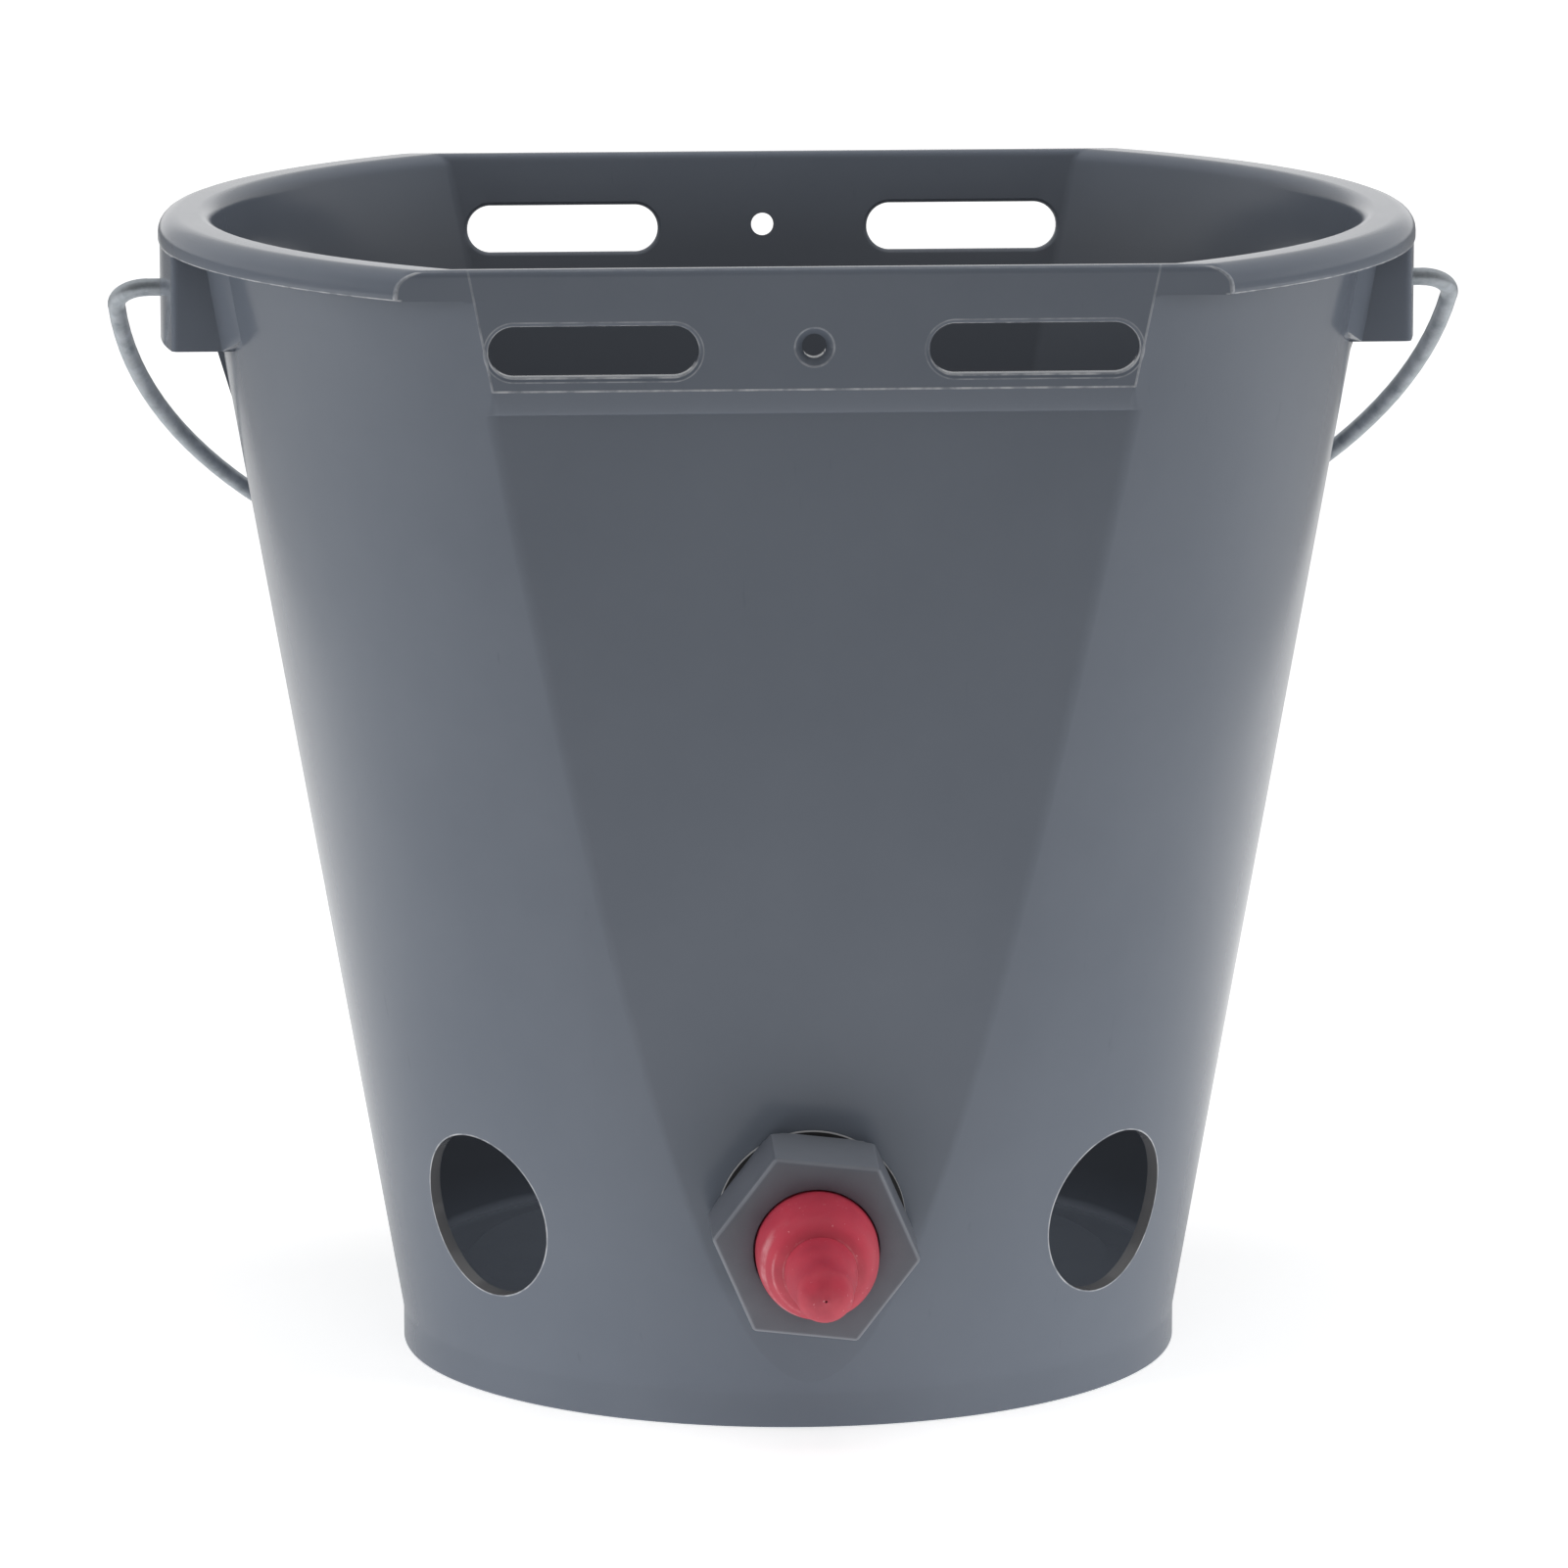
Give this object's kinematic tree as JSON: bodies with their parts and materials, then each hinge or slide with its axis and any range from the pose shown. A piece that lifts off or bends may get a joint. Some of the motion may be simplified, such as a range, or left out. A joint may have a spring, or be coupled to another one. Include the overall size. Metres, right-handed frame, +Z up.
{
  "type": "multi teat lamb feeder",
  "caption": "Grey plastic lamb feeding bucket with flattened front and back, wire bail, teat holes low on the front and a screw-in rubber teat valve.",
  "frame": {"origin": "middle of the foot ring, at table level", "axes": "+Z up, -Y towards the front with the teat, +X along the bail's pivot line to the viewer's right"},
  "size_m": [0.3462, 0.2924, 0.295],
  "materials": {
    "grey_plastic": "moulded satin",
    "nut_plastic": "moulded satin",
    "zinc_wire": "galvanised, dull",
    "black_rubber": "matt",
    "red_rubber": "soft satin",
    "white_plastic": "moulded satin"
  },
  "bodies": {
    "bucket_body": {"bucket": "grey_plastic", "grommet": "black_rubber", "valve_body": "nut_plastic", "ball_retainer": "white_plastic", "hex_nut": "nut_plastic", "teat": "red_rubber"},
    "bail": {"bail_handle": "zinc_wire"},
    "ball": {"valve_ball": "white_plastic"}
  },
  "joints": [
    {"name": "bail_hinge", "type": "hinge", "parent": "bucket_body", "child": "bail", "pos_m": [0, 0, 0.2755], "axis": [1, 0, 0], "range_deg": [0, 258.5]},
    {"name": "ball_travel", "type": "slide", "parent": "bucket_body", "child": "ball", "axis": [0, -0.9968, -0.0802], "range_m": [-0.0055, 0]}
  ]
}
